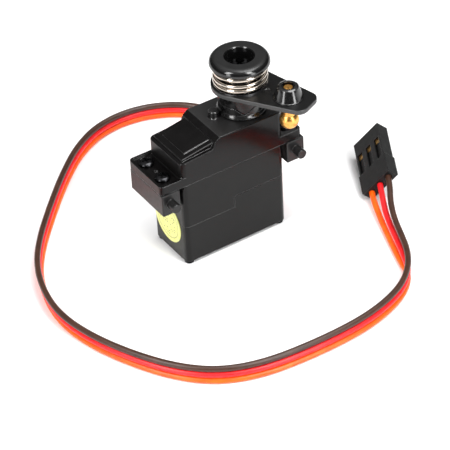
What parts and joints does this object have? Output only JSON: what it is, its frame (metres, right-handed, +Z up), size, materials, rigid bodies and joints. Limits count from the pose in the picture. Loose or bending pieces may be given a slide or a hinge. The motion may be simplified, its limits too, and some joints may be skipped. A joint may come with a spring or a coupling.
{
  "type": "hobby servo motor",
  "caption": "Sub-micro hobby servo with a spring-loaded servo saver horn, ball stud, side-peg mount blocks and a three-wire lead ending in a 2.54 mm plug.",
  "frame": {"origin": "on the surface that the servo stands on, below the middle of the box around the case, ears and horn, leaving out the lead and its plug", "axes": "+X towards the output end of the case, +Y towards the back of the case, +Z up along the output axis"},
  "size_m": [0.0806, 0.0836, 0.0386],
  "materials": {
    "black_case": "satin black moulded plastic",
    "black_upper": "glossy black moulded plastic",
    "black_block": "satin black moulded plastic",
    "black_saver": "satin black nylon",
    "black_cap": "semi-gloss black nylon",
    "black_screw": "black oxide steel",
    "dark_screw": "black oxide steel",
    "steel": "ground steel",
    "nickel": "bright nickel-plated spring wire",
    "motor_steel": "plated steel can",
    "gold": "bright gold-toned brass",
    "nut_black": "gloss black",
    "gear_plastic": "white nylon",
    "label_yellow": "pale yellow film",
    "board_green": "green solder mask",
    "chip_black": "moulded epoxy",
    "pot_blue": "moulded phenolic",
    "motor_white": "white nylon",
    "armature": "laminated steel and windings",
    "wire_brown": "soft PVC",
    "wire_red": "soft PVC",
    "wire_orange": "soft PVC",
    "grommet_rubber": "soft rubber",
    "plug_black": "black nylon",
    "contact_brass": "plated brass"
  },
  "bodies": {
    "case": {"bottom_cover": "black_case", "middle_case": "black_case", "upper_case": "black_upper", "case_screw_1": "black_screw", "case_screw_2": "black_screw", "case_screw_3": "black_screw", "case_screw_4": "black_screw", "left_mount_block": "black_block", "right_mount_block": "black_block", "ear_screw_1": "dark_screw", "ear_screw_2": "dark_screw", "ear_screw_3": "dark_screw", "ear_screw_4": "dark_screw", "idler_pin": "steel", "bearing_outer_ring": "steel", "bearing_balls": "steel", "motor_can": "motor_steel", "motor_end_cap": "motor_white", "circuit_board": "board_green", "driver_chip": "chip_black", "pot_body": "pot_blue", "round_label": "label_yellow", "lead_grommet": "grommet_rubber", "lead_brown": "wire_brown", "lead_red": "wire_red", "lead_orange": "wire_orange", "plug_housing": "plug_black", "plug_contact_1": "contact_brass", "plug_contact_2": "contact_brass", "plug_contact_3": "contact_brass"},
    "output": {"output_gear": "gear_plastic", "bearing_inner_ring": "steel", "pot_wiper": "motor_white", "saver_hub": "black_saver", "saver_spring": "nickel", "saver_cap": "black_cap", "horn_screw": "dark_screw"},
    "third_wheel": {"third_gear": "gear_plastic"},
    "second_wheel": {"second_gear": "gear_plastic"},
    "first_wheel": {"first_gear": "gear_plastic"},
    "rotor": {"motor_rotor": "armature", "motor_pinion": "contact_brass"},
    "lift": {"spring_washer": "steel"},
    "arm": {"saver_arm": "black_saver", "ball_stud": "gold", "cone_nut": "nut_black"}
  },
  "joints": [
    {"name": "output_spin", "type": "hinge", "parent": "case", "child": "output", "pos_m": [0.00603, 0.00462, 0.027], "axis": [0, 0, 1], "range_deg": [-60, 60]},
    {"name": "third_gear_spin", "type": "hinge", "parent": "case", "child": "third_wheel", "pos_m": [0.00006, 0.00522, 0.023], "axis": [0, 0, 1], "range_deg": [-182, 182]},
    {"name": "second_gear_spin", "type": "hinge", "parent": "case", "child": "second_wheel", "pos_m": [0.00603, 0.00462, 0.0215], "axis": [0, 0, 1], "range_deg": [-398, 398]},
    {"name": "first_gear_spin", "type": "hinge", "parent": "case", "child": "first_wheel", "pos_m": [0.00006, 0.00522, 0.02], "axis": [0, 0, 1], "range_deg": [-1190, 1190]},
    {"name": "motor_spin", "type": "hinge", "parent": "case", "child": "rotor", "pos_m": [-0.00509, 0.00462, 0.012], "axis": [0, 0, 1], "range_deg": [-3698, 3698]},
    {"name": "saver_lift", "type": "slide", "parent": "output", "child": "lift", "axis": [0, 0, 1], "range_m": [0, 0.001], "deforming": ["saver_spring"]},
    {"name": "saver_override", "type": "hinge", "parent": "lift", "child": "arm", "pos_m": [0.00603, 0.00462, 0.0324], "axis": [0, 0, 1], "range_deg": [0, 15], "stiffness_Nm_per_rad": 0.02}
  ],
  "couplings": [
    {"joint": "third_gear_spin", "follows": "output_spin", "ratio": -3},
    {"joint": "second_gear_spin", "follows": "output_spin", "ratio": 6.6},
    {"joint": "first_gear_spin", "follows": "output_spin", "ratio": -19.8},
    {"joint": "motor_spin", "follows": "output_spin", "ratio": 61.6},
    {"joint": "saver_override", "follows": "saver_lift", "rad_per_m": 261.79}
  ]
}
